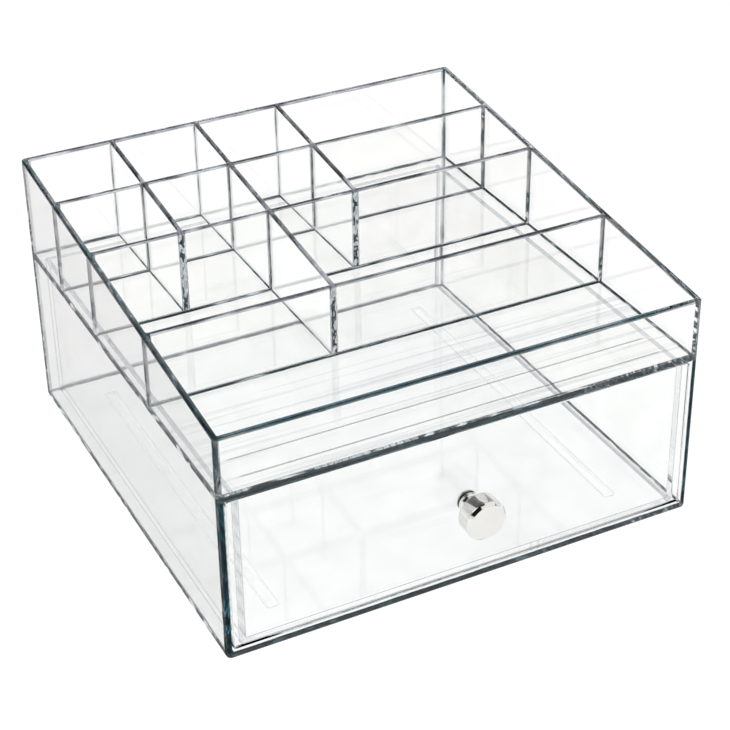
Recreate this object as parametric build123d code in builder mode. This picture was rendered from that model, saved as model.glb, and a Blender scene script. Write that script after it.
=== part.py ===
"""Clear acrylic vanity organizer: an open compartment tray above one drawer.

Millimetres. X is the width, Y the depth, +Z up. The drawer opens towards -Y.
The origin is the centre of the case's footprint, on the surface that it stands on.
"""

import os

from build123d import *

# Case, outside
case_width = 240.0
case_depth = 240.0
back_height = 138.0
front_height = 115.0
corner_radius = 2.4
edge_polish = 0.5

# Case, sheet thicknesses and the height of the tray's floor
side_wall = 3.0
back_wall = 3.0
tray_front_wall = 3.0
base_floor = 3.0
tray_floor = 3.0
tray_floor_underside = 83.0

# Tray dividers: clear sizes of the compartments, counted from the back and from the left
divider_wall = 2.5
small_cell_width = 43.0
rear_row_depth = 41.5
second_row_depth = 44.5
third_row_depth = 66.0
lap_clearance = 0.05

# Drawer
drawer_side_gap = 1.0
drawer_top_gap = 0.8
drawer_bottom_gap = 0.8
drawer_front_inset = 0.5
drawer_back_gap = 2.0
drawer_front_wall = 3.0
drawer_front_corner = 2.0
drawer_wall = 2.5
drawer_floor = 2.5
drawer_front_overhang = 3.5
drawer_side_drop = 1.0
drawer_corner_radius = 2.0

# Runners under the drawer
runner_inset = 23.5
runner_width = 5.0
runner_height = 1.2
runner_end_setback = 17.0

# Knob, turned about an axis square to the drawer front
knob_radius = 10.0
knob_head_length = 9.5
knob_face_round = 1.0
knob_back_round = 0.8
knob_neck_radius = 4.3
knob_neck_length = 5.5
knob_neck_round = 0.7
collar_radius = 5.2
collar_length = 2.0
collar_bevel = 0.5

# Screw and washer that hold the knob from inside the drawer
screw_radius = 2.0
screw_length = 14.0
screw_clearance = 0.25
screw_tip_clearance = 1.0
screw_tip_chamfer = 0.5
thread_clearance = 0.1
screw_head_radius = 3.6
screw_head_height = 2.4
screw_head_bevel = 0.8
recess_width = 1.0
recess_length = 4.2
recess_depth = 1.4
washer_radius = 5.0
washer_thickness = 0.8

# Places that follow from the sizes above
front_y = -case_depth / 2
back_y = case_depth / 2
inner_width = case_width - 2 * side_wall
tray_floor_top = tray_floor_underside + tray_floor
tray_back_y = back_y - back_wall
rim_slope = (back_height - front_height) / case_depth

rear_divider_y = tray_back_y - rear_row_depth - divider_wall / 2
middle_divider_y = rear_divider_y - second_row_depth - divider_wall
front_divider_y = middle_divider_y - third_row_depth - divider_wall
left_divider_x = -inner_width / 2 + small_cell_width + divider_wall / 2
centre_divider_x = left_divider_x + small_cell_width + divider_wall
right_divider_x = centre_divider_x + small_cell_width + divider_wall

drawer_front_y = front_y + drawer_front_inset
drawer_box_y = drawer_front_y + drawer_front_wall
drawer_back_y = tray_back_y - drawer_back_gap
drawer_front_width = inner_width - 2 * drawer_side_gap
drawer_front_bottom = base_floor + drawer_bottom_gap
drawer_front_top = tray_floor_underside - drawer_top_gap
drawer_box_width = drawer_front_width - 2 * drawer_front_overhang
drawer_box_depth = drawer_back_y - drawer_box_y
drawer_underside = base_floor + runner_height
drawer_floor_top = drawer_underside + drawer_floor
drawer_side_top = drawer_front_top - drawer_side_drop
runner_x = drawer_box_width / 2 - runner_inset
knob_z = (drawer_front_bottom + drawer_front_top) / 2
knob_neck_y = drawer_front_y - collar_length
washer_y = drawer_box_y + washer_thickness
screw_back_y = washer_y + screw_head_height
screw_tip_y = washer_y - screw_length
tapped_depth = knob_neck_y - screw_tip_y + screw_tip_clearance


def rim_height(y):
    """Height of the sloping rim at depth y: high at the back, low at the front."""
    return front_height + rim_slope * (y - front_y)


def lap_height(y):
    """Height at which the two halves of a crossing meet at depth y."""
    return (tray_floor_top + rim_height(y)) / 2


def rim_outline(near_y, far_y, bottom):
    """Corners in Y and Z of an upright sheet whose top edge follows the rim."""
    return [
        (near_y, bottom),
        (far_y, bottom),
        (far_y, rim_height(far_y)),
        (near_y, rim_height(near_y)),
    ]


def upper_edges(solid, run):
    """The two edges of a sheet's top that lie along the axis run."""
    return solid.faces().sort_by(Axis.Z)[-1].edges().filter_by(run)


# Case: two side panels, whose outer corners are rounded over
with BuildPart() as left_side_panel:
    with BuildSketch(Plane.YZ.offset(-case_width / 2)):
        Polygon(*rim_outline(front_y, back_y, 0), align=None)
    extrude(amount=side_wall)
    outer_edges = left_side_panel.faces().sort_by(Axis.X)[0].edges()
    fillet(outer_edges.filter_by(Axis.Z) + outer_edges.sort_by(Axis.Z)[:1], radius=corner_radius)
    fillet(left_side_panel.faces().sort_by(Axis.Z)[-1].edges(), radius=edge_polish)

with BuildPart() as right_side_panel:
    mirror(left_side_panel.part, about=Plane.YZ)

with BuildPart() as back_panel:
    with BuildSketch(Plane.YZ.offset(-inner_width / 2)):
        Polygon(*rim_outline(tray_back_y, back_y, 0), align=None)
    extrude(amount=inner_width)
    fillet(upper_edges(back_panel, Axis.X), radius=edge_polish)

with BuildPart() as base_panel:
    with BuildSketch():
        with Locations((0, front_y)):
            Rectangle(inner_width, tray_back_y - front_y, align=(Align.CENTER, Align.MIN))
    extrude(amount=base_floor)
    fillet(base_panel.faces().sort_by(Axis.Y)[0].edges().filter_by(Axis.X), radius=edge_polish)

with BuildPart() as tray_floor_panel:
    with BuildSketch(Plane.XY.offset(tray_floor_underside)):
        with Locations((0, front_y)):
            Rectangle(inner_width, tray_back_y - front_y, align=(Align.CENTER, Align.MIN))
    extrude(amount=tray_floor)
    lower_edges = tray_floor_panel.faces().sort_by(Axis.Z)[0].edges()
    fillet(lower_edges.sort_by(Axis.Y)[:1], radius=edge_polish)

with BuildPart() as tray_front_panel:
    with BuildSketch(Plane.YZ.offset(-inner_width / 2)):
        Polygon(*rim_outline(front_y, front_y + tray_front_wall, tray_floor_top), align=None)
    extrude(amount=inner_width)
    fillet(upper_edges(tray_front_panel, Axis.X), radius=edge_polish)


# Tray dividers, half lapped where they cross: the cross dividers are slotted from
# above, and the lengthwise ones from below
def cross_divider(centre_y, crossed_at):
    """A divider across the tray, with a slot for each lengthwise divider in crossed_at."""
    near_y = centre_y - divider_wall / 2
    far_y = centre_y + divider_wall / 2
    with BuildPart() as divider:
        with BuildSketch(Plane.YZ.offset(-inner_width / 2)):
            Polygon(*rim_outline(near_y, far_y, tray_floor_top), align=None)
        extrude(amount=inner_width)
        fillet(upper_edges(divider, Axis.X), radius=edge_polish)
        for x in crossed_at:
            with BuildSketch(Plane.XY.offset(lap_height(centre_y))):
                with Locations((x, centre_y)):
                    Rectangle(divider_wall + 2 * lap_clearance, 2 * divider_wall)
            extrude(amount=back_height, mode=Mode.SUBTRACT)
    return divider


def lengthwise_divider(centre_x, end_y, crossed_at):
    """A divider from the back panel to end_y, notched under each cross divider in crossed_at."""
    with BuildPart() as divider:
        with BuildSketch(Plane.YZ.offset(centre_x - divider_wall / 2)):
            Polygon(*rim_outline(end_y, tray_back_y, tray_floor_top), align=None)
            for y in crossed_at:
                notch_width = divider_wall + 2 * lap_clearance
                notch_height = lap_height(y) - tray_floor_top
                with Locations((y, tray_floor_top)):
                    Rectangle(
                        notch_width,
                        notch_height,
                        align=(Align.CENTER, Align.MIN),
                        mode=Mode.SUBTRACT,
                    )
        extrude(amount=divider_wall)
        top_face = divider.faces().sort_by(Axis.Z)[-1]
        fillet(top_face.edges().sort_by(SortBy.LENGTH)[-2:], radius=edge_polish)
    return divider


rear_cross_divider = cross_divider(
    rear_divider_y, (left_divider_x, centre_divider_x, right_divider_x)
)
middle_cross_divider = cross_divider(middle_divider_y, (centre_divider_x,))
front_cross_divider = cross_divider(front_divider_y, ())

middle_divider_back = middle_divider_y + divider_wall / 2
front_divider_back = front_divider_y + divider_wall / 2
left_lengthwise_divider = lengthwise_divider(
    left_divider_x, middle_divider_back, (rear_divider_y,)
)
centre_lengthwise_divider = lengthwise_divider(
    centre_divider_x, front_divider_back, (rear_divider_y, middle_divider_y)
)
right_lengthwise_divider = lengthwise_divider(
    right_divider_x, middle_divider_back, (rear_divider_y,)
)

# Drawer: a front that overhangs the box behind it, with a hole for the knob's screw
with BuildPart() as drawer_front:
    with BuildSketch(Plane.XZ.offset(-drawer_box_y)):
        with Locations((0, knob_z)):
            RectangleRounded(
                drawer_front_width,
                drawer_front_top - drawer_front_bottom,
                drawer_front_corner,
            )
            Circle(screw_radius + screw_clearance, mode=Mode.SUBTRACT)
    extrude(amount=drawer_front_wall)
    front_rim = drawer_front.faces().sort_by(Axis.Y)[0].outer_wire().edges()
    fillet(front_rim, radius=edge_polish)

with BuildPart() as drawer_bottom:
    with BuildSketch(Plane.XY.offset(drawer_underside)):
        with Locations((0, drawer_box_y)):
            Rectangle(drawer_box_width, drawer_box_depth, align=(Align.CENTER, Align.MIN))
    extrude(amount=drawer_floor)
    under_edges = drawer_bottom.faces().sort_by(Axis.Z)[0].edges()
    fillet(under_edges.sort_by(Axis.Y)[1:], radius=drawer_corner_radius)

with BuildPart() as drawer_left_side:
    with BuildSketch(Plane.XY.offset(drawer_floor_top)):
        with Locations((-drawer_box_width / 2, drawer_box_y)):
            Rectangle(drawer_wall, drawer_box_depth, align=(Align.MIN, Align.MIN))
    extrude(amount=drawer_side_top - drawer_floor_top)
    back_corner = drawer_left_side.edges().filter_by(Axis.Z).group_by(Axis.Y)[-1].sort_by(Axis.X)
    fillet(back_corner[:1], radius=drawer_corner_radius)
    fillet(upper_edges(drawer_left_side, Axis.Y), radius=edge_polish)

with BuildPart() as drawer_right_side:
    mirror(drawer_left_side.part, about=Plane.YZ)

with BuildPart() as drawer_back:
    with BuildSketch(Plane.XY.offset(drawer_floor_top)):
        with Locations((0, drawer_back_y)):
            Rectangle(
                drawer_box_width - 2 * drawer_wall,
                drawer_wall,
                align=(Align.CENTER, Align.MAX),
            )
    extrude(amount=drawer_side_top - drawer_floor_top)
    fillet(upper_edges(drawer_back, Axis.X), radius=edge_polish)

# Runners: two low strips that the drawer glides on
with BuildPart() as drawer_left_runner:
    with BuildSketch(Plane.XY.offset(base_floor)):
        with Locations((-runner_x, (drawer_box_y + drawer_back_y) / 2)):
            SlotOverall(drawer_box_depth - 2 * runner_end_setback, runner_width, rotation=90)
    extrude(amount=runner_height)

with BuildPart() as drawer_right_runner:
    mirror(drawer_left_runner.part, about=Plane.YZ)

# Knob: head and neck in one turned piece, tapped from behind. The turning plane's X
# runs out of the drawer along the knob's axis, and its Y is the radius.
turning_plane = Plane(origin=(0, knob_neck_y, knob_z), x_dir=(0, -1, 0), z_dir=(-1, 0, 0))
with BuildPart() as knob:
    with BuildSketch(turning_plane) as knob_profile:
        Rectangle(knob_neck_length, knob_neck_radius, align=(Align.MIN, Align.MIN))
        with Locations((knob_neck_length, 0)):
            Rectangle(knob_head_length, knob_radius, align=(Align.MIN, Align.MIN))
        neck_corners = knob_profile.vertices().group_by(Axis.Y)[1].sort_by(Axis.X)
        fillet(neck_corners[-1:], radius=knob_neck_round)
        head_corners = knob_profile.vertices().group_by(Axis.Y)[-1].sort_by(Axis.X)
        fillet(head_corners[:1], radius=knob_back_round)
        fillet(head_corners[-1:], radius=knob_face_round)
    revolve(axis=Axis((0, 0, knob_z), (0, -1, 0)))
    with Locations(Plane(origin=(0, knob_neck_y, knob_z), z_dir=(0, 1, 0))):
        Hole(screw_radius + thread_clearance, depth=tapped_depth)

with BuildPart() as knob_collar:
    with BuildSketch(Plane.XZ.offset(-drawer_front_y)):
        with Locations((0, knob_z)):
            Circle(collar_radius)
            Circle(screw_radius + screw_clearance, mode=Mode.SUBTRACT)
    extrude(amount=collar_length)
    chamfer(knob_collar.faces().sort_by(Axis.Y)[0].outer_wire().edges(), length=collar_bevel)

with BuildPart() as knob_washer:
    with BuildSketch(Plane.XZ.offset(-washer_y)):
        with Locations((0, knob_z)):
            Circle(washer_radius)
            Circle(screw_radius + screw_clearance, mode=Mode.SUBTRACT)
    extrude(amount=washer_thickness)

with BuildPart() as knob_screw:
    with BuildSketch(Plane.XZ.offset(-screw_back_y)):
        with Locations((0, knob_z)):
            Circle(screw_head_radius)
    extrude(amount=screw_head_height)
    chamfer(knob_screw.faces().sort_by(Axis.Y)[-1].edges(), length=screw_head_bevel)
    with BuildSketch(Plane.XZ.offset(-washer_y)):
        with Locations((0, knob_z)):
            Circle(screw_radius)
    extrude(amount=screw_length)
    chamfer(knob_screw.faces().sort_by(Axis.Y)[0].edges(), length=screw_tip_chamfer)
    with BuildSketch(Plane.XZ.offset(-screw_back_y)):
        with Locations((0, knob_z)):
            Rectangle(recess_length, recess_width)
            Rectangle(recess_width, recess_length)
    extrude(amount=recess_depth, mode=Mode.SUBTRACT)

pieces = {
    "left_side_panel": left_side_panel,
    "right_side_panel": right_side_panel,
    "back_panel": back_panel,
    "base_panel": base_panel,
    "tray_floor_panel": tray_floor_panel,
    "tray_front_panel": tray_front_panel,
    "rear_cross_divider": rear_cross_divider,
    "middle_cross_divider": middle_cross_divider,
    "front_cross_divider": front_cross_divider,
    "left_lengthwise_divider": left_lengthwise_divider,
    "centre_lengthwise_divider": centre_lengthwise_divider,
    "right_lengthwise_divider": right_lengthwise_divider,
    "drawer_front": drawer_front,
    "drawer_back": drawer_back,
    "drawer_left_side": drawer_left_side,
    "drawer_right_side": drawer_right_side,
    "drawer_bottom": drawer_bottom,
    "drawer_left_runner": drawer_left_runner,
    "drawer_right_runner": drawer_right_runner,
    "knob": knob,
    "knob_collar": knob_collar,
    "knob_washer": knob_washer,
    "knob_screw": knob_screw,
}
os.makedirs("parts", exist_ok=True)
for label, piece in pieces.items():
    piece.part.label = label
    export_step(piece.part, f"parts/{label}.step")
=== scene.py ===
"""A clear acrylic organizer: an open compartment tray above one drawer with a nickel knob."""

import math

import bmesh
import bpy
from mathutils import Matrix, Vector


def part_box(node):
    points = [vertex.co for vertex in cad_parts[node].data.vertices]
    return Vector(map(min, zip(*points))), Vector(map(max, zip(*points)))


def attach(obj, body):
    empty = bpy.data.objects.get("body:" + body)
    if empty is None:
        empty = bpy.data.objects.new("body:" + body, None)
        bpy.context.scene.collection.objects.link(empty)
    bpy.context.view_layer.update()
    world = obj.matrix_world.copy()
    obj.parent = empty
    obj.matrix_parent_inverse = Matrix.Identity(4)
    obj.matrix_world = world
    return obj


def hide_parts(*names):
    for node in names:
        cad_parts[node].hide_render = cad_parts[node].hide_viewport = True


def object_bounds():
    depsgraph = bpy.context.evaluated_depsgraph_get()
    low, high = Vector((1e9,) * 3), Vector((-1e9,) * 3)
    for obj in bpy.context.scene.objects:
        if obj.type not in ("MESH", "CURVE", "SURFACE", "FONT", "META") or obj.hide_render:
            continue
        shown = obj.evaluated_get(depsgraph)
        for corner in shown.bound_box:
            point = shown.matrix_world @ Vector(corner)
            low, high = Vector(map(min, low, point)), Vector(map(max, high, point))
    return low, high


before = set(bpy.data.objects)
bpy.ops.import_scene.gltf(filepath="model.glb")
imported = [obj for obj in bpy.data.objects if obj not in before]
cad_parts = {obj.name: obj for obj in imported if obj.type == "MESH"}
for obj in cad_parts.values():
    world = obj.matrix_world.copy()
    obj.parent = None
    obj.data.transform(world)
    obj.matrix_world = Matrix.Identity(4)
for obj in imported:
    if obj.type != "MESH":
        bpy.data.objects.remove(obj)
cad_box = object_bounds()

MM = 0.001

# Heights and rounds in metres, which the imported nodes' boxes don't give exactly
BACK_HEIGHT = 138 * MM
FRONT_HEIGHT = 115 * MM
CASE_CORNER = 2.4 * MM
BACK_CORNER = 2.9 * MM
DRAWER_CORNER = 2.0 * MM
POLISH = 0.5 * MM
WALL_RIM_ROUND = 1.15 * MM
DIVIDER_RIM_ROUND = 0.9 * MM
INNER_ROUND = 0.7 * MM
INNER_CORNER = 1.6 * MM
FAINT_JOINT_ROUND = 0.2 * MM
RUNNER_LIFT = 0.12 * MM
RUNNER_ROUND = 0.9 * MM
BEVEL_STEPS = 6

# An edge is rounded where its faces turn by more than this, in radians
SHARP_TURN = 0.2

# Places nearer to each other than this are the same
TOUCH = 0.001 * MM

# Places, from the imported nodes
side_low, side_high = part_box("left_side_panel")
base_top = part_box("base_panel")[1].z
deck_low, deck_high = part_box("tray_floor_panel")
tray_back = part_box("back_panel")[0].y
tray_front_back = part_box("tray_front_panel")[1].y
front_y, back_y = side_low.y, side_high.y
half_width = -side_low.x
inner_half = -side_high.x


def rim_height(y):
    """Height of the sloping rim at depth y."""
    return FRONT_HEIGHT + (BACK_HEIGHT - FRONT_HEIGHT) * (y - front_y) / (back_y - front_y)


# Meshes
def add_object(name, content):
    """An object of the scene with this mesh, lamp or camera."""
    piece = bpy.data.objects.new(name, content)
    bpy.context.scene.collection.objects.link(piece)
    return piece


def cell_mesh(name, xs, ys, zs, is_filled, height_of=None):
    """The closed skin of the filled cells between the cuts xs, ys and zs.

    The highest cut follows height_of(y) where that is given."""
    corner = {}
    points, faces = [], []

    def vertex(i, j, k):
        if (i, j, k) not in corner:
            z = height_of(ys[j]) if height_of and k == len(zs) - 1 else zs[k]
            corner[i, j, k] = len(points)
            points.append((xs[i], ys[j], z))
        return corner[i, j, k]

    def filled(i, j, k):
        inside = 0 <= i < len(xs) - 1 and 0 <= j < len(ys) - 1 and 0 <= k < len(zs) - 1
        return inside and is_filled(i, j, k)

    for i in range(len(xs) - 1):
        for j in range(len(ys) - 1):
            for k in range(len(zs) - 1):
                if not filled(i, j, k):
                    continue
                a, b, c = i + 1, j + 1, k + 1
                sides = (
                    ((i - 1, j, k), ((i, j, k), (i, j, c), (i, b, c), (i, b, k))),
                    ((a, j, k), ((a, j, k), (a, b, k), (a, b, c), (a, j, c))),
                    ((i, j - 1, k), ((i, j, k), (a, j, k), (a, j, c), (i, j, c))),
                    ((i, b, k), ((i, b, k), (i, b, c), (a, b, c), (a, b, k))),
                    ((i, j, k - 1), ((i, j, k), (i, b, k), (a, b, k), (a, j, k))),
                    ((i, j, c), ((i, j, c), (a, j, c), (a, b, c), (i, b, c))),
                )
                for neighbour, ring in sides:
                    if not filled(*neighbour):
                        faces.append([vertex(*corner_at) for corner_at in ring])
    mesh = bpy.data.meshes.new(name)
    mesh.from_pydata(points, [], faces)
    mesh.validate()
    return add_object(name, mesh)


def is_near(value, *targets):
    """Whether the value is one of the targets."""
    return any(abs(value - t) < TOUCH for t in targets)


def weigh_edges(piece, radius_of, widest):
    """Gives every sharp edge its share of the widest rounding. radius_of(low, high, convex)
    is an edge's radius, from its lowest and highest corners."""
    form = bmesh.new()
    form.from_mesh(piece.data)
    weight = form.edges.layers.float.new("bevel_weight_edge")
    for edge in form.edges:
        if len(edge.link_faces) != 2 or edge.calc_face_angle() < SHARP_TURN:
            continue
        ends = [v.co for v in edge.verts]
        low = Vector(min(p[i] for p in ends) for i in range(3))
        high = Vector(max(p[i] for p in ends) for i in range(3))
        edge[weight] = radius_of(low, high, edge.is_convex) / widest
    form.to_mesh(piece.data)
    form.free()


def apply_modifiers(piece):
    """Replaces the piece's mesh by the one that its modifiers make."""
    bpy.context.view_layer.update()
    depsgraph = bpy.context.evaluated_depsgraph_get()
    made = bpy.data.meshes.new_from_object(piece.evaluated_get(depsgraph))
    piece.modifiers.clear()
    piece.data = made
    made.name = piece.name


# Finishes of the clear bodies' faces, in the order of paint()'s materials
FACE, EDGE, STREAKED, RIM, SHADED_ROUND, DEEP, VEILED, BOX, POST, GLIDE, BOX_EDGE = range(11)
ROUNDED = SHADED_ROUND


def round_edges(piece, widest):
    """Rounds the weighed edges, and keeps the flat faces' shading flat."""
    for _ in range(BOX_EDGE + 1):
        piece.data.materials.append(None)
    for face in piece.data.polygons:
        face.use_smooth = True
    bevel = piece.modifiers.new("rounding", "BEVEL")
    bevel.limit_method = "WEIGHT"
    bevel.edge_weight = "bevel_weight_edge"
    bevel.width = widest
    bevel.segments = BEVEL_STEPS
    bevel.use_clamp_overlap = False
    bevel.harden_normals = True
    bevel.miter_outer = "MITER_ARC"
    bevel.material = ROUNDED
    apply_modifiers(piece)


# The case, as one clear body: its cemented sheets have no faces between them
def divider_span(node, axis):
    """Where a node starts and ends along an axis."""
    low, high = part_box(node)
    return low[axis], high[axis]


left_x = divider_span("left_lengthwise_divider", 0)
centre_x = divider_span("centre_lengthwise_divider", 0)
right_x = divider_span("right_lengthwise_divider", 0)
front_div = divider_span("front_cross_divider", 1)
middle_div = divider_span("middle_cross_divider", 1)
rear_div = divider_span("rear_cross_divider", 1)

case_xs = (-half_width, -inner_half, *left_x, *centre_x, *right_x, inner_half, half_width)
case_ys = (front_y, tray_front_back, *front_div, *middle_div, *rear_div, tray_back, back_y)
case_zs = (0.0, base_top, deck_low.z, deck_high.z, BACK_HEIGHT)
LENGTHWISE_FROM = {2: middle_div[1], 4: front_div[1], 6: middle_div[1]}
BASE_LAYER, BAY_LAYER, DECK_LAYER = range(3)
CROSS_ROWS = (0, 2, 4, 6)


def case_filled(i, j, k):
    """The walls, the base, the deck and the dividers, by their cells."""
    if i in (0, len(case_xs) - 2) or j == len(case_ys) - 2:
        return True
    if k in (BASE_LAYER, DECK_LAYER):
        return True
    if k == BAY_LAYER:
        return False
    if j in CROSS_ROWS:
        return True
    return i in LENGTHWISE_FROM and case_ys[j] >= LENGTHWISE_FROM[i] - TOUCH


def case_radius(low, high, convex):
    """Rounding of one of the case's edges."""
    upright = high.z - low.z > 2 * (high.y - low.y) and high.x - low.x < TOUCH
    outer_x = is_near(low.x, -half_width, half_width) and is_near(low.x, high.x)
    outer_y = is_near(low.y, front_y, back_y) and is_near(low.y, high.y)
    if not convex:
        at_wall = is_near(abs(low.x), inner_half) and is_near(low.x, high.x)
        across = is_near(low.y, tray_front_back, tray_back)
        at_front = is_near(low.z, deck_high.z) and is_near(high.y, tray_front_back)
        if at_front or (is_near(low.z, deck_low.z) and is_near(high.z, deck_low.z)):
            return FAINT_JOINT_ROUND
        return INNER_CORNER if upright and at_wall and across else INNER_ROUND
    if outer_x and ((upright and outer_y) or is_near(high.z, 0)):
        return BACK_CORNER if upright and is_near(low.y, back_y) else CASE_CORNER
    if upright or high.z < deck_high.z + MM:
        return POLISH
    on_wall = (
        min(abs(low.x), abs(high.x)) > inner_half - TOUCH
        or high.y < tray_front_back + TOUCH
        or low.y > tray_back - TOUCH
    )
    return WALL_RIM_ROUND if on_wall else DIVIDER_RIM_ROUND


case_shell = cell_mesh("case_shell", case_xs, case_ys, case_zs, case_filled, rim_height)
weigh_edges(case_shell, case_radius, BACK_CORNER)
round_edges(case_shell, BACK_CORNER)

# The drawer, as one clear body
drawer_front_low, drawer_front_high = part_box("drawer_front")
drawer_bottom_low, drawer_bottom_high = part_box("drawer_bottom")
drawer_side_low, drawer_side_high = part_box("drawer_left_side")
drawer_back_low, drawer_back_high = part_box("drawer_back")
runner_low, runner_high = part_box("drawer_right_runner")

drawer_xs = (
    drawer_front_low.x,
    drawer_side_low.x,
    drawer_side_high.x,
    -runner_high.x,
    -runner_low.x,
    runner_low.x,
    runner_high.x,
    -drawer_side_high.x,
    -drawer_side_low.x,
    drawer_front_high.x,
)
drawer_ys = (
    drawer_front_low.y,
    drawer_front_high.y,
    runner_low.y,
    runner_high.y,
    drawer_back_low.y,
    drawer_back_high.y,
)
drawer_zs = (
    runner_low.z + RUNNER_LIFT,
    drawer_front_low.z,
    drawer_bottom_low.z,
    drawer_bottom_high.z,
    drawer_side_high.z,
    drawer_front_high.z,
)
FRONT_ROW, RUNNER_ROW = 0, 2
SIDE_COLUMN, RUNNER_COLUMN = 1, 3
RUNNER_LAYERS, BOTTOM_LAYER, SIDE_LAYER = (0, 1), 2, 3


def drawer_filled(i, j, k):
    """The front, the box and the runners, by their cells."""
    last = len(drawer_xs) - 2
    if j == FRONT_ROW:
        return k > RUNNER_LAYERS[0]
    if k in RUNNER_LAYERS:
        return i in (RUNNER_COLUMN, last - RUNNER_COLUMN) and j == RUNNER_ROW
    if i in (0, last):
        return False
    if k == BOTTOM_LAYER:
        return True
    upright = i in (SIDE_COLUMN, last - SIDE_COLUMN) or j == len(drawer_ys) - 2
    return k == SIDE_LAYER and upright


def drawer_radius(low, high, convex):
    """Rounding of one of the drawer's edges."""
    if not convex:
        return INNER_ROUND
    along_y = high.y - low.y > TOUCH
    front_corner = along_y and is_near(abs(low.x), drawer_front_high.x)
    box_side = is_near(abs(low.x), -drawer_side_low.x) and is_near(low.x, high.x)
    at_back = is_near(low.y, drawer_back_high.y) and is_near(high.y, low.y)
    underside = is_near(high.z, drawer_bottom_low.z)
    if front_corner or (box_side and at_back) or (underside and (box_side or at_back)):
        return DRAWER_CORNER
    on_runner = high.z < drawer_bottom_low.z + MM / 10 and low.y > drawer_front_high.y
    return RUNNER_ROUND if on_runner else POLISH


def bore(piece, centre, radius, depth, steps=48):
    """Cuts a round hole along Y through the piece, centred on centre."""
    form = bmesh.new()
    bmesh.ops.create_cone(
        form,
        cap_ends=True,
        segments=steps,
        radius1=radius,
        radius2=radius,
        depth=depth,
        matrix=Matrix.Translation(centre) @ Matrix.Rotation(math.pi / 2, 4, "X"),
    )
    mesh = bpy.data.meshes.new("bore")
    form.to_mesh(mesh)
    form.free()
    cutter = add_object("bore", mesh)
    cut = piece.modifiers.new("bore", "BOOLEAN")
    cut.operation = "DIFFERENCE"
    cut.object = cutter
    cut.solver = "EXACT"
    apply_modifiers(piece)
    bpy.data.objects.remove(cutter)


SCREW_HOLE_RADIUS = 2.25 * MM
screw_low, screw_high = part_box("knob_screw")
front_wall = drawer_front_high.y - drawer_front_low.y
screw_axis_z = (screw_low.z + screw_high.z) / 2
hole_centre = Vector((0, (drawer_front_low.y + drawer_front_high.y) / 2, screw_axis_z))
drawer_shell = cell_mesh("drawer_shell", drawer_xs, drawer_ys, drawer_zs, drawer_filled)
bore(drawer_shell, hole_centre, SCREW_HOLE_RADIUS, 2 * front_wall)
weigh_edges(drawer_shell, drawer_radius, DRAWER_CORNER)
round_edges(drawer_shell, DRAWER_CORNER)


# The knob. Its faces shade as one where they turn by less than this, in degrees
LATHE_SHARP_TURN = 28


def lathe(name, profile, centre, steps=96):
    """A closed ring turned about the line through centre along -Y. profile is the
    ring's outline as (distance towards the front, radius) pairs."""
    points, faces = [], []
    for s in range(steps):
        angle = 2 * math.pi * s / steps
        for along, radius in profile:
            points.append(
                (
                    centre.x + radius * math.cos(angle),
                    centre.y - along,
                    centre.z + radius * math.sin(angle),
                )
            )
    count = len(profile)
    for s in range(steps):
        t = (s + 1) % steps
        for p in range(count):
            q = (p + 1) % count
            faces.append((s * count + p, t * count + p, t * count + q, s * count + q))
    mesh = bpy.data.meshes.new(name)
    mesh.from_pydata(points, [], faces)
    form = bmesh.new()
    form.from_mesh(mesh)
    bmesh.ops.remove_doubles(form, verts=form.verts, dist=TOUCH / 10)
    bmesh.ops.recalc_face_normals(form, faces=form.faces)
    form.to_mesh(mesh)
    form.free()
    for face in mesh.polygons:
        face.use_smooth = True
    mesh.set_sharp_from_angle(angle=math.radians(LATHE_SHARP_TURN))
    return add_object(name, mesh)


def arc(centre_along, centre_radius, radius, start, end, steps=6):
    """Points of an arc, with its angles in degrees from the knob's axis."""
    points = []
    for n in range(steps + 1):
        turned = math.radians(start + (end - start) * n / steps)
        along = centre_along + radius * math.cos(turned)
        points.append((along, centre_radius + radius * math.sin(turned)))
    return points


KNOB_NECK_RADIUS = 4.3 * MM
KNOB_NECK_LENGTH = 5.5 * MM
KNOB_NECK_ROUND = 0.7 * MM
KNOB_BACK_ROUND = 0.8 * MM
KNOB_BEVEL = 1.5 * MM
KNOB_BEVEL_TURN = 45
KNOB_EDGE_ROUND = 0.35 * MM
KNOB_HOLE_RADIUS = 2.05 * MM
KNOB_HOLE_DEPTH = 9.2 * MM
knob_low, knob_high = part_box("knob")
knob_length = knob_high.y - knob_low.y
knob_radius = (knob_high.x - knob_low.x) / 2
edge_run = KNOB_EDGE_ROUND * math.tan(math.radians(KNOB_BEVEL_TURN / 2))
turned_knob = lathe(
    "turned_knob",
    [
        (0, KNOB_HOLE_RADIUS),
        (0, KNOB_NECK_RADIUS),
        *arc(
            KNOB_NECK_LENGTH - KNOB_NECK_ROUND,
            KNOB_NECK_RADIUS + KNOB_NECK_ROUND,
            KNOB_NECK_ROUND,
            -90,
            0,
        ),
        *arc(
            KNOB_NECK_LENGTH + KNOB_BACK_ROUND,
            knob_radius - KNOB_BACK_ROUND,
            KNOB_BACK_ROUND,
            180,
            90,
        ),
        *arc(
            knob_length - KNOB_BEVEL - edge_run,
            knob_radius - KNOB_EDGE_ROUND,
            KNOB_EDGE_ROUND,
            90,
            KNOB_BEVEL_TURN,
        ),
        *arc(
            knob_length - KNOB_EDGE_ROUND,
            knob_radius - KNOB_BEVEL - edge_run,
            KNOB_EDGE_ROUND,
            KNOB_BEVEL_TURN,
            0,
        ),
        (knob_length, 0),
        (KNOB_HOLE_DEPTH, 0),
        (KNOB_HOLE_DEPTH, KNOB_HOLE_RADIUS),
    ],
    Vector((0, knob_high.y, (knob_low.z + knob_high.z) / 2)),
)
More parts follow.
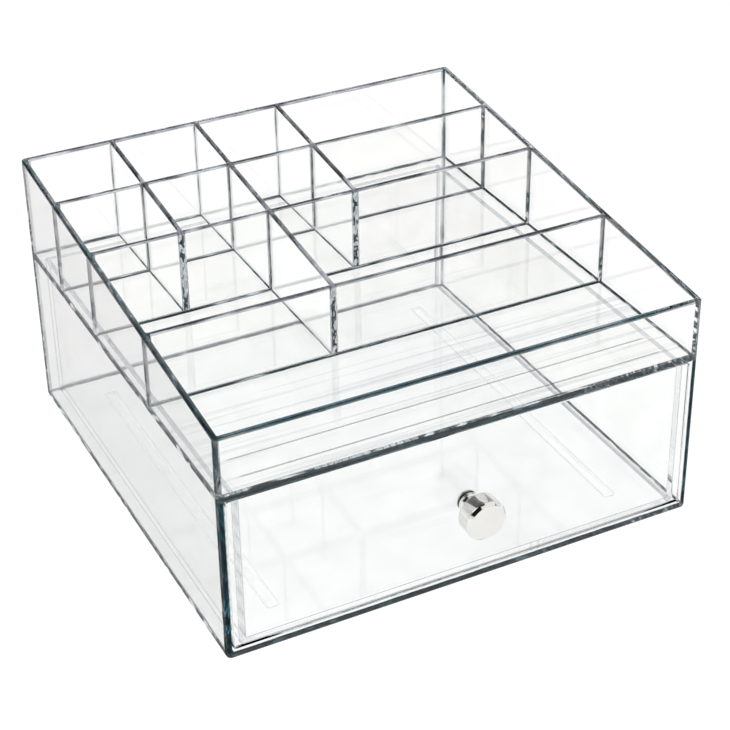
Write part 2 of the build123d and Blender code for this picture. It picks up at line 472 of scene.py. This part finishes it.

# Cement in the case's joints, as closed strips just inside the clear body, with painted dark
# shade and bright glints in patches on them
BOND_HALF = 0.15 * MM
BOND_INSET = 0.06 * MM
BOND_BELOW_RIM = 1.0 * MM
BOND_END = 1.1 * MM
UPRIGHT, ACROSS, ALONG, SEAM, GLINT = range(5)


def shrunk(span):
    """A span that stays just inside the sheets' faces."""
    return span[0] + BOND_INSET, span[1] - BOND_INSET


def about(place):
    """The thin span of a joint at this place."""
    return place - BOND_HALF, place + BOND_HALF


def strip_mesh(name, strips):
    """Closed strips, each (finish, xs, ys, zs). A top of None follows the sloping rim."""
    points, faces, finishes = [], [], []
    for finish, xs, ys, zs in strips:
        start = len(points)
        for x in xs:
            for y in ys:
                top = rim_height(y) - BOND_BELOW_RIM if zs[1] is None else zs[1]
                points += [(x, y, zs[0]), (x, y, top)]
        for ring in (
            (0, 1, 3, 2),
            (4, 6, 7, 5),
            (0, 4, 5, 1),
            (2, 3, 7, 6),
            (0, 2, 6, 4),
            (1, 5, 7, 3),
        ):
            faces.append([start + corner for corner in ring])
            finishes.append(finish)
    mesh = bpy.data.meshes.new(name)
    mesh.from_pydata(points, [], faces)
    for face, finish in zip(mesh.polygons, finishes):
        face.material_index = finish
    return add_object(name, mesh)


standing = (deck_high.z + 2 * BOND_HALF, None)
inner_span = shrunk((-inner_half, inner_half))
deck_span = shrunk((deck_low.z, deck_high.z))
base_span = shrunk((0, base_top))
bond_glint_strips = []
for spans, crossed, front_end in (
    (left_x, (rear_div,), middle_div[1]),
    (centre_x, (rear_div, middle_div), front_div[1]),
    (right_x, (rear_div,), middle_div[1]),
):
    for crossing in crossed:
        bond_glint_strips.append((UPRIGHT, shrunk(spans), shrunk(crossing), standing))
    bond_glint_strips.append((GLINT, shrunk(spans), about(front_end), standing))
    bond_glint_strips.append((UPRIGHT, shrunk(spans), about(tray_back), standing))
    behind = tray_back
    for crossing in crossed:
        bond_glint_strips.append((ALONG, shrunk(spans), shrunk((crossing[1], behind)), about(deck_high.z)))
        behind = crossing[0]
    bond_glint_strips.append((ALONG, shrunk(spans), shrunk((front_end, behind)), about(deck_high.z)))
for crossing in (front_div, middle_div, rear_div):
    bond_glint_strips.append((ACROSS, inner_span, shrunk(crossing), about(deck_high.z)))
    for side in (-1, 1):
        reach = sorted((side * (inner_half + BOND_HALF), side * (inner_half - BOND_END)))
        bond_glint_strips.append((UPRIGHT, reach, shrunk(crossing), standing))
for level in (deck_span, base_span):
    bond_glint_strips.append((SEAM, inner_span, about(tray_back), level))
    for side in (-inner_half, inner_half):
        bond_glint_strips.append((SEAM, about(side), (front_y + CASE_CORNER, tray_back - BOND_HALF), level))
case_bond_glints = strip_mesh("case_bond_glints", bond_glint_strips)


# Materials
def node_material(name):
    material = bpy.data.materials.new(name)
    material.use_nodes = True
    nodes = material.node_tree.nodes
    nodes.clear()
    return material, nodes, material.node_tree.links


def set_surface(nodes, links, surface):
    out = nodes.new("ShaderNodeOutputMaterial")
    links.new(surface, out.inputs["Surface"])


def add(nodes, kind, **values):
    """A node, with its sockets set by name."""
    node = nodes.new(kind)
    for socket, value in values.items():
        node.inputs[socket.replace("_", " ")].default_value = value
    return node


def shade_by(nodes, links, value, stops):
    """The colour that a ramp with these (position, colour) stops gives a value."""
    ramp = nodes.new("ShaderNodeValToRGB")
    for _ in stops[2:]:
        ramp.color_ramp.elements.new(0.5)
    for step, (position, colour) in zip(ramp.color_ramp.elements, stops):
        step.position = position
        step.color = (*colour, 1)
    links.new(value, ramp.inputs["Fac"])
    return ramp.outputs["Color"]


def noise_at(nodes, links, place, scale, detail):
    """Noise in object space, stretched by scale."""
    stretch = nodes.new("ShaderNodeMapping")
    stretch.inputs["Scale"].default_value = scale
    links.new(place.outputs["Object"], stretch.inputs["Vector"])
    noise = add(nodes, "ShaderNodeTexNoise", Scale=1.0, Detail=detail, Roughness=0.45)
    links.new(stretch.outputs["Vector"], noise.inputs["Vector"])
    return noise.outputs["Fac"]


def remap(nodes, links, value, from_min, from_max, to_min, to_max):
    node = nodes.new("ShaderNodeMapRange")
    node.inputs["From Min"].default_value = from_min
    node.inputs["From Max"].default_value = from_max
    node.inputs["To Min"].default_value = to_min
    node.inputs["To Max"].default_value = to_max
    links.new(value, node.inputs["Value"])
    return node.outputs["Result"]


def combine(nodes, links, operation, first, second):
    """A Math node of two links, or of a link and a number."""
    node = nodes.new("ShaderNodeMath")
    node.operation = operation
    links.new(first, node.inputs[0])
    if isinstance(second, (int, float)):
        node.inputs[1].default_value = second
    else:
        links.new(second, node.inputs[1])
    return node.outputs[0]


def mix_shaders(nodes, links, share, first, second):
    """The first shader, with this share of the second."""
    mix = nodes.new("ShaderNodeMixShader")
    links.new(share, mix.inputs["Fac"])
    links.new(first, mix.inputs[1])
    links.new(second, mix.inputs[2])
    return mix.outputs[0]


def let_lamps_through(nodes, links, surface, tint):
    """Lamp light and diffuse light pass straight through, and the rest meets the surface."""
    clear = nodes.new("ShaderNodeBsdfTransparent")
    clear.inputs["Color"].default_value = tint
    ray = nodes.new("ShaderNodeLightPath")
    lamp_ray = combine(
        nodes, links, "MAXIMUM", ray.outputs["Is Shadow Ray"], ray.outputs["Is Diffuse Ray"]
    )
    return mix_shaders(nodes, links, lamp_ray, surface, clear.outputs[0])


# Dark fine lines painted in the tray's floor: where each ends in X, its half width, and its
# tint
DARK_LINE_REACH = (104 * MM, 107 * MM)
DARK_LINE_WIDTH = (0.3 * MM, 0.65 * MM)
DARK_LINE_TINT = (0.13, 0.135, 0.145, 1)


def with_dark_line(nodes, links, place, tint, depth):
    """The tint with a painted dark fine line along X at this depth."""
    away = combine(nodes, links, "SUBTRACT", place.outputs["Y"], depth)
    away = combine(nodes, links, "ABSOLUTE", away, 0.0)
    near = remap(nodes, links, away, *DARK_LINE_WIDTH, 1.0, 0.0)
    aside = combine(nodes, links, "ABSOLUTE", place.outputs["X"], 0.0)
    within = remap(nodes, links, aside, *DARK_LINE_REACH, 1.0, 0.0)
    mix = nodes.new("ShaderNodeMix")
    mix.data_type = "RGBA"
    mix.inputs[7].default_value = DARK_LINE_TINT
    links.new(combine(nodes, links, "MULTIPLY", near, within), mix.inputs[0])
    links.new(tint, mix.inputs[6])
    return mix.outputs[2]


# A painted white sheen grows between these angles of view, as Layer Weight gives them
VEIL_FACING = (0.3, 0.65)
VEIL_TINT = (0.96, 0.96, 0.95, 1)


def veiled(nodes, links, surface, veil):
    """The surface with a painted white sheen where it is seen at a glancing angle from outside.
    """
    glance = nodes.new("ShaderNodeLayerWeight")
    side = nodes.new("ShaderNodeNewGeometry")
    amount = remap(nodes, links, glance.outputs["Facing"], *VEIL_FACING, 0.0, veil)
    front = remap(nodes, links, side.outputs["Backfacing"], 0.0, 1.0, 1.0, 0.0)
    white_sheen = nodes.new("ShaderNodeBsdfDiffuse")
    white_sheen.inputs["Color"].default_value = VEIL_TINT
    share = combine(nodes, links, "MULTIPLY", amount, front)
    return mix_shaders(nodes, links, share, surface, white_sheen.outputs[0])


ACRYLIC_IOR = 1.49
LAMP_TINT = (0.985, 0.99, 0.99, 1)
SMEAR_SCALE = (38.0, 38.0, 38.0)
SMEAR_RANGE = (0.45, 0.8)
SMEAR_ROUGHNESS = 0.02


def acrylic(
    name, stops, patch_scale, flow_scale, flow, ior=ACRYLIC_IOR, leans=(), dark_lines=(), veil=0.0
):
    """Clear acrylic that lets lamp light through. Its bump is a faint flow in the sheet. Its
    tint varies in patches over the stops, which paint shade and glints where they are dark,
    and leans of (axis, from, to, amount) move them towards the last stop, painting places
    lighter. Dark fine lines are painted at the depths given for them, and veil paints a
    white sheen on glancing faces."""
    material, nodes, links = node_material(name)
    place = nodes.new("ShaderNodeTexCoord")
    bump = add(nodes, "ShaderNodeBump", Strength=flow, Distance=MM)
    links.new(noise_at(nodes, links, place, flow_scale, 2.0), bump.inputs["Height"])
    smear = noise_at(nodes, links, place, SMEAR_SCALE, 3.0)
    patch = noise_at(nodes, links, place, patch_scale, 2.0)
    split = nodes.new("ShaderNodeSeparateXYZ")
    links.new(place.outputs["Object"], split.inputs[0])
    for axis, start, end, amount in leans:
        leaning = remap(nodes, links, split.outputs[axis], start, end, 0.0, amount)
        patch = combine(nodes, links, "ADD", patch, leaning)
    tint = shade_by(nodes, links, patch, stops)
    for depth in dark_lines:
        tint = with_dark_line(nodes, links, split, tint, depth)
    shader = add(nodes, "ShaderNodeBsdfPrincipled", IOR=ior, Transmission_Weight=1.0)
    links.new(tint, shader.inputs["Base Color"])
    roughness = remap(nodes, links, smear, *SMEAR_RANGE, 0.0, SMEAR_ROUGHNESS)
    links.new(roughness, shader.inputs["Roughness"])
    links.new(bump.outputs["Normal"], shader.inputs["Normal"])
    surface = shader.outputs[0]
    if veil:
        surface = veiled(nodes, links, surface, veil)
    set_surface(nodes, links, let_lamps_through(nodes, links, surface, LAMP_TINT))
    return material


# Within this height above the tray's floor the painted glints grow darker
FOOT_RISE = 24 * MM
FILM_IOR = 1.05


def painted_glint_film(name, stops, patch_scale, alpha, foot=0.0):
    """A film of painted shade and glints on the cemented joints, and of a painted highlight on
    the runners' edges. Its shade varies in patches over the stops, and foot moves them
    towards the last stop near the tray's floor, which paints darker glints there."""
    material, nodes, links = node_material(name)
    place = nodes.new("ShaderNodeTexCoord")
    patch = noise_at(nodes, links, place, patch_scale, 2.0)
    if foot:
        split = nodes.new("ShaderNodeSeparateXYZ")
        links.new(place.outputs["Object"], split.inputs[0])
        low, high = deck_high.z, deck_high.z + FOOT_RISE
        lowness = remap(nodes, links, split.outputs["Z"], low, high, foot, 0.0)
        patch = combine(nodes, links, "ADD", patch, lowness)
    shader = add(nodes, "ShaderNodeBsdfPrincipled", Roughness=0.5, IOR=FILM_IOR, Alpha=alpha)
    links.new(shade_by(nodes, links, patch, stops), shader.inputs["Base Color"])
    surface = let_lamps_through(nodes, links, shader.outputs[0], (1, 1, 1, 1))
    set_surface(nodes, links, surface)
    return material


METAL_SMEAR_SCALE = 160.0
METAL_DARKEST = 0.93
METAL_MARKS = 0.2 * MM


def polished_metal(name, colour, roughness):
    """A polished surface, with faint turning marks and finger smears."""
    material, nodes, links = node_material(name)
    place = nodes.new("ShaderNodeTexCoord")
    smear = add(
        nodes, "ShaderNodeTexNoise", Scale=METAL_SMEAR_SCALE, Detail=4.0, Roughness=0.6
    )
    links.new(place.outputs["Object"], smear.inputs["Vector"])
    gloss = remap(nodes, links, smear.outputs["Fac"], 0.0, 1.0, *roughness)
    darkest = tuple(METAL_DARKEST * c for c in colour)
    shade = shade_by(nodes, links, smear.outputs["Fac"], ((0.0, darkest), (1.0, colour)))
    bump = add(nodes, "ShaderNodeBump", Strength=0.03, Distance=METAL_MARKS)
    links.new(smear.outputs["Fac"], bump.inputs["Height"])
    shader = add(nodes, "ShaderNodeBsdfPrincipled", Metallic=1.0)
    links.new(shade, shader.inputs["Base Color"])
    links.new(gloss, shader.inputs["Roughness"])
    links.new(bump.outputs["Normal"], shader.inputs["Normal"])
    set_surface(nodes, links, shader.outputs[0])
    return material


# Noise scales, in patches per metre along X, Y and Z
FINE = (60.0, 60.0, 60.0)
FINEST = (90.0, 90.0, 90.0)
CALM = (20.0, 20.0, 20.0)
BROAD = (3.0, 9.0, 3.0)
CLEAR_STOPS = ((0.4, (0.976, 0.977, 0.973)), (0.6, (0.992, 0.992, 0.989)))
clear_acrylic = acrylic("acrylic_face", CLEAR_STOPS, FINE, BROAD, 0.02)
# Painted shade: the outer rims and the narrow front edges get a dark blue-green tint, in
# patches with paler glints
edge_shade_acrylic = acrylic(
    "acrylic_edge_painted_shade",
    (
        (0.38, (0.0006, 0.0065, 0.0105)),
        (0.66, (0.012, 0.036, 0.048)),
        (0.9, (0.16, 0.2, 0.23)),
        (1.0, (0.5, 0.54, 0.58)),
    ),
    (40.0, 60.0, 60.0),
    FINE,
    0.1,
    # Painted light: the leans make the tint paler towards the case's right and further back
    # from its front
    leans=(("X", 0.02, 0.12, 0.42), ("Y", front_y + 6 * MM, front_y + 34 * MM, 0.24)),
)
streaked_acrylic = acrylic(
    "acrylic_tray_floor",
    ((0.34, (0.66, 0.68, 0.7)), (0.47, (0.99, 0.99, 0.985))),
    (7.0, 420.0, 7.0),
    (4.0, 60.0, 4.0),
    0.03,
    dark_lines=(front_y + 11.5 * MM, front_y + 25 * MM),
)
# Painted shade and glints on the rim tops inside the tray: dark, grey and pale patches
rim_acrylic = acrylic(
    "acrylic_rim_painted_shade",
    ((0.34, (0.03, 0.035, 0.045)), (0.5, (0.2, 0.21, 0.25)), (0.66, (0.52, 0.54, 0.6))),
    (70.0, 70.0, 70.0),
    FINE,
    0.15,
)
# Painted shade and glints on the rounded outer corners and the joints' fillets: dark blue-green
# patches among grey ones
round_shade_acrylic = acrylic(
    "acrylic_round_painted_shade",
    ((0.42, (0.003, 0.015, 0.02)), (0.62, (0.4, 0.45, 0.48))),
    FINEST,
    FINE,
    0.1,
)
# Painted shade and glints on the upright fillets inside the tray
post_acrylic = acrylic(
    "acrylic_upright_round_painted_shade",
    ((0.4, (0.12, 0.13, 0.15)), (0.6, (0.6, 0.62, 0.64))),
    (90.0, 90.0, 60.0),
    FINE,
    0.1,
)
# Painted shade: deep blue-green on the side walls' narrow front ends below the deck
deep_acrylic = acrylic(
    "acrylic_front_edge_painted_shade",
    ((0.35, (0.001, 0.03, 0.05)), (0.7, (0.003, 0.06, 0.09))),
    FINE,
    FINE,
    0.05,
    ior=1.2,
)
# The lengthwise dividers' faces get a painted white sheen at glancing angles
veiled_acrylic = acrylic("acrylic_divider_painted_sheen", CLEAR_STOPS, FINE, BROAD, 0.02, veil=0.55)
box_acrylic = acrylic("acrylic_drawer_box", CLEAR_STOPS, FINE, BROAD, 0.02, ior=1.05)
# Painted shade: grey on the drawer box's rims and rounded edges
box_edge_acrylic = acrylic(
    "acrylic_drawer_box_edge_painted_shade",
    ((0.4, (0.42, 0.45, 0.48)), (0.6, (0.56, 0.58, 0.61))),
    CALM,
    FINE,
    0.05,
    ior=1.1,
)
# Painted shade and glints on the cement strips: dark blue-green and black patches among grey
# and white ones
bond_glint_finishes = (
    painted_glint_film(
        "cement_upright_painted_glints",
        (
            (0.35, (0.36, 0.36, 0.37)),
            (0.58, (0.2, 0.2, 0.21)),
            (0.66, (0.012, 0.05, 0.06)),
            (0.76, (0.02, 0.03, 0.035)),
            (0.82, (0.7, 0.72, 0.74)),
        ),
        (200.0, 200.0, 160.0),
        0.8,
        foot=0.26,
    ),
    painted_glint_film(
        "cement_across_painted_glints",
        (
            (0.36, (0.75, 0.76, 0.78)),
            (0.42, (0.05, 0.06, 0.07)),
            (0.5, (0.012, 0.035, 0.045)),
            (0.62, (0.006, 0.014, 0.018)),
        ),
        (42.0, 260.0, 260.0),
        0.93,
    ),
    painted_glint_film(
        "cement_along_painted_glints",
        ((0.4, (0.75, 0.75, 0.76)), (0.6, (0.4, 0.41, 0.42))),
        (120.0, 42.0, 120.0),
        0.6,
    ),
    painted_glint_film(
        "cement_seam_painted_glints",
        (
            (0.36, (0.7, 0.72, 0.74)),
            (0.42, (0.1, 0.11, 0.12)),
            (0.54, (0.012, 0.025, 0.03)),
            (0.7, (0.25, 0.27, 0.29)),
        ),
        (110.0, 110.0, 260.0),
        0.88,
    ),
    painted_glint_film(
        "cement_painted_glint",
        (
            (0.4, (0.3, 0.31, 0.33)),
            (0.49, (0.62, 0.63, 0.66)),
            (0.55, (0.012, 0.05, 0.06)),
            (0.66, (0.01, 0.015, 0.02)),
            (0.76, (0.6, 0.62, 0.65)),
        ),
        (420.0, 420.0, 210.0),
        0.9,
        foot=0.14,
    ),
)
# Painted highlight: a pale film on the runners' rounded edges
glide_finish = painted_glint_film(
    "runner_edge_painted_highlight", ((0.4, (0.93, 0.93, 0.94)), (0.7, (0.8, 0.81, 0.83))), FINE, 0.55
)
nickel = polished_metal("nickel_polished", (0.82, 0.81, 0.78), (0.02, 0.06))
washer_material = polished_metal("washer_plastic", (0.8, 0.82, 0.82), (0.3, 0.45))


def paint(piece, finish_of):
    """Gives each face the finish that finish_of says, from its middle, its normal and
    whether it is part of a rounded edge."""
    finishes = (
        clear_acrylic,
        edge_shade_acrylic,
        streaked_acrylic,
        rim_acrylic,
        round_shade_acrylic,
        deep_acrylic,
        veiled_acrylic,
        box_acrylic,
        post_acrylic,
        glide_finish,
        box_edge_acrylic,
    )
    for slot_number, material in enumerate(finishes):
        piece.data.materials[slot_number] = material
    for face in piece.data.polygons:
        rounded = face.material_index == ROUNDED
        face.material_index = finish_of(face.center, face.normal, rounded)


# Least share of a face's normal along an axis when it slants that way, leans or faces it
SLANTS, LEANS, FACES, FACES_WELL, SQUARELY = 0.25, 0.3, 0.7, 0.8, 0.9
FRONT_BAND = 1.2 * MM
SKIN = 0.1 * MM


def case_finish(centre, normal, rounded):
    """Rims, corners and joints tinted with painted shade and glints, a painted sheen on the
    dividers, and a streaked floor in the tray's front rows.
    """
    below_rim = rim_height(centre.y) - centre.z
    in_tray = abs(centre.x) < inner_half and centre.y > tray_front_back
    if below_rim < WALL_RIM_ROUND and normal.z > LEANS:
        return RIM if in_tray else EDGE
    below_deck = centre.z < deck_high.z
    if below_deck and centre.y < front_y + FRONT_BAND and normal.y < -FACES:
        return DEEP if base_top < centre.z < deck_low.z else EDGE
    outside = abs(centre.x) > inner_half + MM or centre.y > tray_back + MM or centre.z < MM
    if rounded and outside:
        return SHADED_ROUND if sorted(abs(c) for c in normal)[1] > SLANTS else FACE
    under_deck = abs(centre.z - deck_low.z) < FAINT_JOINT_ROUND
    if rounded and not under_deck:
        return POST if abs(normal.z) < LEANS else SHADED_ROUND
    if abs(normal.x) > SQUARELY and abs(centre.x) < inner_half - MM:
        return VEILED
    on_floor = normal.z > SQUARELY and abs(centre.z - deck_high.z) < SKIN
    return STREAKED if on_floor and centre.y < front_div[0] else FACE


def drawer_finish(centre, normal, rounded):
    """Painted shade on the front panel's narrow top and bottom sides, and a faint box behind it
    with painted shade on its edges and a painted highlight on its runners.
    """
    below_box = centre.z < drawer_bottom_low.z - SKIN / 2
    if rounded and below_box and centre.y > runner_low.y - MM:
        return GLIDE
    if centre.y > drawer_front_high.y + SKIN:
        on_rim = abs(normal.z) > LEANS and centre.z > drawer_side_high.z - POLISH
        return BOX_EDGE if rounded or on_rim else BOX
    return EDGE if abs(normal.z) > FACES_WELL else FACE


paint(case_shell, case_finish)
paint(drawer_shell, drawer_finish)

for material in bond_glint_finishes:
    case_bond_glints.data.materials.append(material)

for piece, body in ((case_shell, "case"), (case_bond_glints, "case"), (drawer_shell, "drawer")):
    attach(piece, body)
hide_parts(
    "left_side_panel",
    "right_side_panel",
    "back_panel",
    "base_panel",
    "tray_floor_panel",
    "tray_front_panel",
    "rear_cross_divider",
    "middle_cross_divider",
    "front_cross_divider",
    "left_lengthwise_divider",
    "centre_lengthwise_divider",
    "right_lengthwise_divider",
)
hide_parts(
    "drawer_front",
    "drawer_back",
    "drawer_left_side",
    "drawer_right_side",
    "drawer_bottom",
    "drawer_left_runner",
    "drawer_right_runner",
)


def finish_node(node, material):
    """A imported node's piece gets this material."""
    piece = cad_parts[node]
    piece.data.materials.clear()
    piece.data.materials.append(material)


turned_knob.data.materials.append(nickel)
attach(turned_knob, "drawer")
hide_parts("knob")
for node in ("knob_collar", "knob_screw"):
    finish_node(node, nickel)
finish_node("knob_washer", washer_material)

# Stage: a pale floor, which keeps the soft shadow
FLOOR_REACH = 6.0
FLOOR_DROP = 0.2 * MM
FLOOR_COLOUR = (0.75, 0.75, 0.75, 1)
FLOOR_GLOW = 0.22
floor_mesh = bpy.data.meshes.new("floor")
floor_corners = [(-1, -1), (1, -1), (1, 1), (-1, 1)]
floor_mesh.from_pydata(
    [(FLOOR_REACH * x, FLOOR_REACH * y, -FLOOR_DROP) for x, y in floor_corners],
    [],
    [(0, 1, 2, 3)],
)
floor = add_object("floor", floor_mesh)
floor_material, nodes, links = node_material("floor_white")
matte = add(nodes, "ShaderNodeBsdfDiffuse", Color=FLOOR_COLOUR)
glow = add(nodes, "ShaderNodeEmission", Color=(1, 1, 1, 1), Strength=FLOOR_GLOW)
both = nodes.new("ShaderNodeAddShader")
links.new(matte.outputs[0], both.inputs[0])
links.new(glow.outputs[0], both.inputs[1])
set_surface(nodes, links, both.outputs[0])
floor_mesh.materials.append(floor_material)

# World: plain white
world = bpy.data.worlds.new("studio")
bpy.context.scene.world = world
world.use_nodes = True
world.node_tree.nodes["Background"].inputs["Color"].default_value = (1, 1, 1, 1)
world.node_tree.nodes["Background"].inputs["Strength"].default_value = 1.0


# Studio pieces, which only mirror reflections and, where said, refraction see
def studio_piece(name, mesh, material, refracted):
    mesh.materials.append(material)
    piece = add_object(name, mesh)
    piece.visible_camera = piece.visible_diffuse = piece.visible_shadow = False
    piece.visible_transmission = refracted
    return piece


def glowing(name, level):
    """A material that glows evenly."""
    material, nodes, links = node_material(name)
    shine = add(nodes, "ShaderNodeEmission", Color=(level, level, level, 1))
    set_surface(nodes, links, shine.outputs[0])
    material.cycles.emission_sampling = "NONE"
    return material


# A dome that darkens overhead, by its height's share of the radius
DOME_RADIUS = 4.0
DOME_LEVELS = ((0.0, 1.0), (0.16, 0.95), (0.27, 0.22), (0.5, 0.12), (0.8, 0.06), (1.0, 0.1))
DOME_TINT = (0.94, 0.99, 1.0)
form = bmesh.new()
bmesh.ops.create_uvsphere(form, u_segments=48, v_segments=24, radius=DOME_RADIUS)
below = [v for v in form.verts if v.co.z < -0.01 * DOME_RADIUS]
bmesh.ops.delete(form, geom=below, context="VERTS")
dome_mesh = bpy.data.meshes.new("dome")
form.to_mesh(dome_mesh)
form.free()
dome_material, nodes, links = node_material("dome_gradient")
place = nodes.new("ShaderNodeTexCoord")
split = nodes.new("ShaderNodeSeparateXYZ")
links.new(place.outputs["Object"], split.inputs[0])
height = remap(nodes, links, split.outputs["Z"], 0.0, DOME_RADIUS, 0.0, 1.0)
dome_stops = [(rise, tuple(level * c for c in DOME_TINT)) for rise, level in DOME_LEVELS]
glow = nodes.new("ShaderNodeEmission")
links.new(shade_by(nodes, links, height, dome_stops), glow.inputs["Color"])
set_surface(nodes, links, glow.outputs[0])
dome_material.cycles.emission_sampling = "NONE"
dome = studio_piece("dome", dome_mesh, dome_material, refracted=True)


def direction(turn, rise):
    """A unit step, from degrees round from +Y towards +X and up from the floor."""
    around, up = math.radians(turn), math.radians(rise)
    return math.sin(around) * math.cos(up), math.cos(around) * math.cos(up), math.sin(up)


# Bright windows round the studio, which the sheets and the metal mirror
WINDOW_TURNS = (26, 98, 170, 242, 314)
WINDOW_HALF_TURN = 15
WINDOW_RISE = (12, 46)
WINDOW_LEVEL = 0.97
WINDOW_DISTANCE = 0.9 * DOME_RADIUS
window_points, window_faces = [], []
for turn in WINDOW_TURNS:
    start = len(window_points)
    for side in (-WINDOW_HALF_TURN, WINDOW_HALF_TURN):
        for rise in WINDOW_RISE:
            step = direction(turn + side, rise)
            window_points.append(tuple(WINDOW_DISTANCE * c for c in step))
    window_faces.append((start, start + 1, start + 3, start + 2))
window_mesh = bpy.data.meshes.new("windows")
window_mesh.from_pydata(window_points, [], window_faces)
window_material = glowing("window_white", WINDOW_LEVEL)
windows = studio_piece("windows", window_mesh, window_material, refracted=True)


def reflected_only(name, points, faces, level):
    """A glowing piece that only mirror reflections see."""
    mesh = bpy.data.meshes.new(name)
    mesh.from_pydata(points, [], faces)
    piece = studio_piece(name, mesh, glowing(name + "_finish", level), refracted=False)


CARD_DISTANCE = 3.2
CARD_STEPS = 8


def card(name, turns, rises, level):
    """A curved card. turns and rises are degrees round from +Y towards +X and up from the
    floor."""
    points, faces = [], []
    for a in range(CARD_STEPS + 1):
        turn = turns[0] + (turns[1] - turns[0]) * a / CARD_STEPS
        for b in range(CARD_STEPS + 1):
            rise = rises[0] + (rises[1] - rises[0]) * b / CARD_STEPS
            points.append(tuple(CARD_DISTANCE * c for c in direction(turn, rise)))
            if a and b:
                here = a * (CARD_STEPS + 1) + b
                behind = here - CARD_STEPS - 1
                faces.append((here, here - 1, behind - 1, behind))
    reflected_only(name, points, faces, level)


FLAG_LEVEL = 0.012
card("flag_behind", (-46, 6), (8, 58), FLAG_LEVEL)
card("flag_front", (190, 232), (14, 62), FLAG_LEVEL)
card("reflector", (104, 160), (22, 66), 1.0)

# Grey cloths on the floor at the case's two sides and behind it
CLOTH_REACH = 1.0
CLOTH_GAP = 0.3 * MM
CLOTH_LEVEL = 0.4
beside = cad_box[1][0] + CLOTH_GAP
cloth_corners, cloth_faces = [], []
for x_span, y_span in (
    ((-CLOTH_REACH, -beside), (front_y, CLOTH_REACH)),
    ((beside, CLOTH_REACH), (front_y, CLOTH_REACH)),
    ((-beside, beside), (cad_box[1][1] + CLOTH_GAP, CLOTH_REACH)),
):
    start = len(cloth_corners)
    cloth_corners += [(x, y, 0.0) for x in x_span for y in y_span]
    cloth_faces.append((start, start + 2, start + 3, start + 1))
reflected_only("floor_cloths", cloth_corners, cloth_faces, CLOTH_LEVEL)


def softbox(name, place, target, size, power):
    """A rectangular lamp that points at target."""
    light = bpy.data.lights.new(name, "AREA")
    light.shape = "RECTANGLE"
    light.size, light.size_y = size
    light.energy = power
    lamp = add_object(name, light)
    lamp.location = place
    lamp.rotation_euler = (Vector(target) - Vector(place)).to_track_quat("-Z", "Y").to_euler()


KEY_PLACE = (-1.3, -0.9, 1.7)
KEY_TARGET = (0, 0, 0.05)
KEY_SIZE = (1.2, 1.2)
KEY_POWER = 12.0
softbox("key", KEY_PLACE, KEY_TARGET, KEY_SIZE, KEY_POWER)

# Camera, solved on the photograph's straight edges. Its turns are azimuth, elevation and
# roll, in radians
IMAGE_SIDE = 730
FOCAL_PIXELS = 1923.30
CENTRE_ROW = 310.0
SENSOR = 36.0
CAMERA_PLACE = (-0.350053, -0.721324, 0.554028)
CAMERA_TURNS = (-0.461964, 0.533780, -0.014875)
camera_data = bpy.data.cameras.new("camera")
camera = add_object("camera", camera_data)
bpy.context.scene.camera = camera
camera_data.sensor_width = SENSOR
camera_data.lens = FOCAL_PIXELS / IMAGE_SIDE * SENSOR
camera_data.shift_y = (CENTRE_ROW - IMAGE_SIDE / 2) / IMAGE_SIDE
azimuth, elevation, roll = CAMERA_TURNS
back_axis = Vector(
    (
        math.sin(azimuth) * math.cos(elevation),
        -math.cos(azimuth) * math.cos(elevation),
        math.sin(elevation),
    )
)
level = Vector((0, 0, 1)).cross(back_axis).normalized()
upward = back_axis.cross(level)
right_axis = level * math.cos(roll) + upward * math.sin(roll)
up_axis = upward * math.cos(roll) - level * math.sin(roll)
turn = Matrix((right_axis, up_axis, back_axis)).transposed()
camera.matrix_world = Matrix.Translation(CAMERA_PLACE) @ turn.to_4x4()

# Light crosses many clear faces, so paths are long
PATH_LENGTH = 64
scene = bpy.context.scene
scene.view_settings.view_transform = "Standard"
scene.cycles.max_bounces = PATH_LENGTH
scene.cycles.transmission_bounces = PATH_LENGTH
scene.cycles.glossy_bounces = PATH_LENGTH
scene.cycles.transparent_max_bounces = PATH_LENGTH
